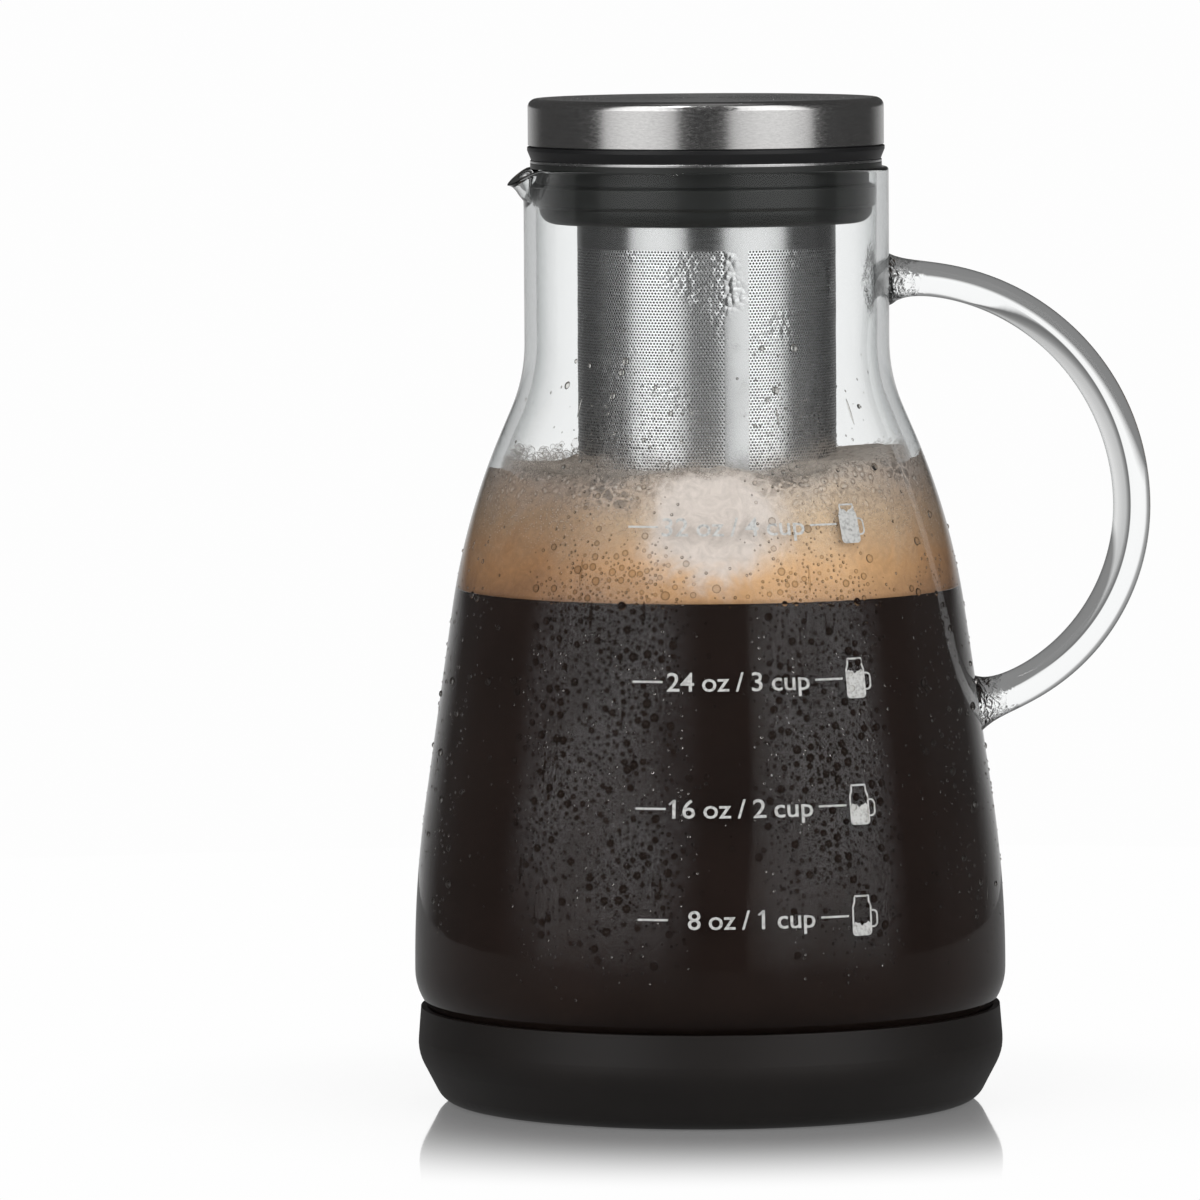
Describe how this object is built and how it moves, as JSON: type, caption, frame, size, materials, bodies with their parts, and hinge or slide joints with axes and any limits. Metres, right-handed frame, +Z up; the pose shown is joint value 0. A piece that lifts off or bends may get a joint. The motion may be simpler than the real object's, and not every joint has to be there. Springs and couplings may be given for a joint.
{
  "type": "cold brew coffee maker",
  "caption": "Glass carafe with a side handle and pouring lip, in a silicone base, with a lift-out steel filter hung in its neck and a steel-capped lid.",
  "frame": {"origin": "centre of the face that the base rests on", "axes": "+Z up along the carafe's axis, +X towards the handle, -X towards the pouring lip, -Y towards the measuring scale"},
  "size_m": [0.1548, 0.123, 0.2086],
  "materials": {
    "silicone_black": "matte moulded silicone",
    "borosilicate_glass": "clear blown glass",
    "collar_silicone": "satin moulded silicone",
    "filter_steel": "etched and rolled stainless sheet",
    "cap_steel": "stainless steel brushed round the rim",
    "insert_plastic": "black moulded polypropylene"
  },
  "bodies": {
    "base": {"silicone_base": "silicone_black"},
    "carafe": {"glass_body": "borosilicate_glass", "glass_handle": "borosilicate_glass"},
    "filter": {"filter_collar": "collar_silicone", "filter_flange": "filter_steel", "filter_screen": "filter_steel", "filter_bottom": "filter_steel"},
    "lid": {"lid_insert": "insert_plastic", "lid_gasket": "collar_silicone", "lid_cap": "cap_steel"}
  },
  "joints": [
    {"name": "carafe_lift", "type": "slide", "parent": "base", "child": "carafe", "axis": [0, 0, 1], "range_m": [0, 0.03]},
    {"name": "filter_lift", "type": "slide", "parent": "carafe", "child": "filter", "axis": [0, 0, 1], "range_m": [0, 0.145]},
    {"name": "lid_lift", "type": "slide", "parent": "filter", "child": "lid", "axis": [0, 0, 1], "range_m": [0, 0.03]}
  ]
}
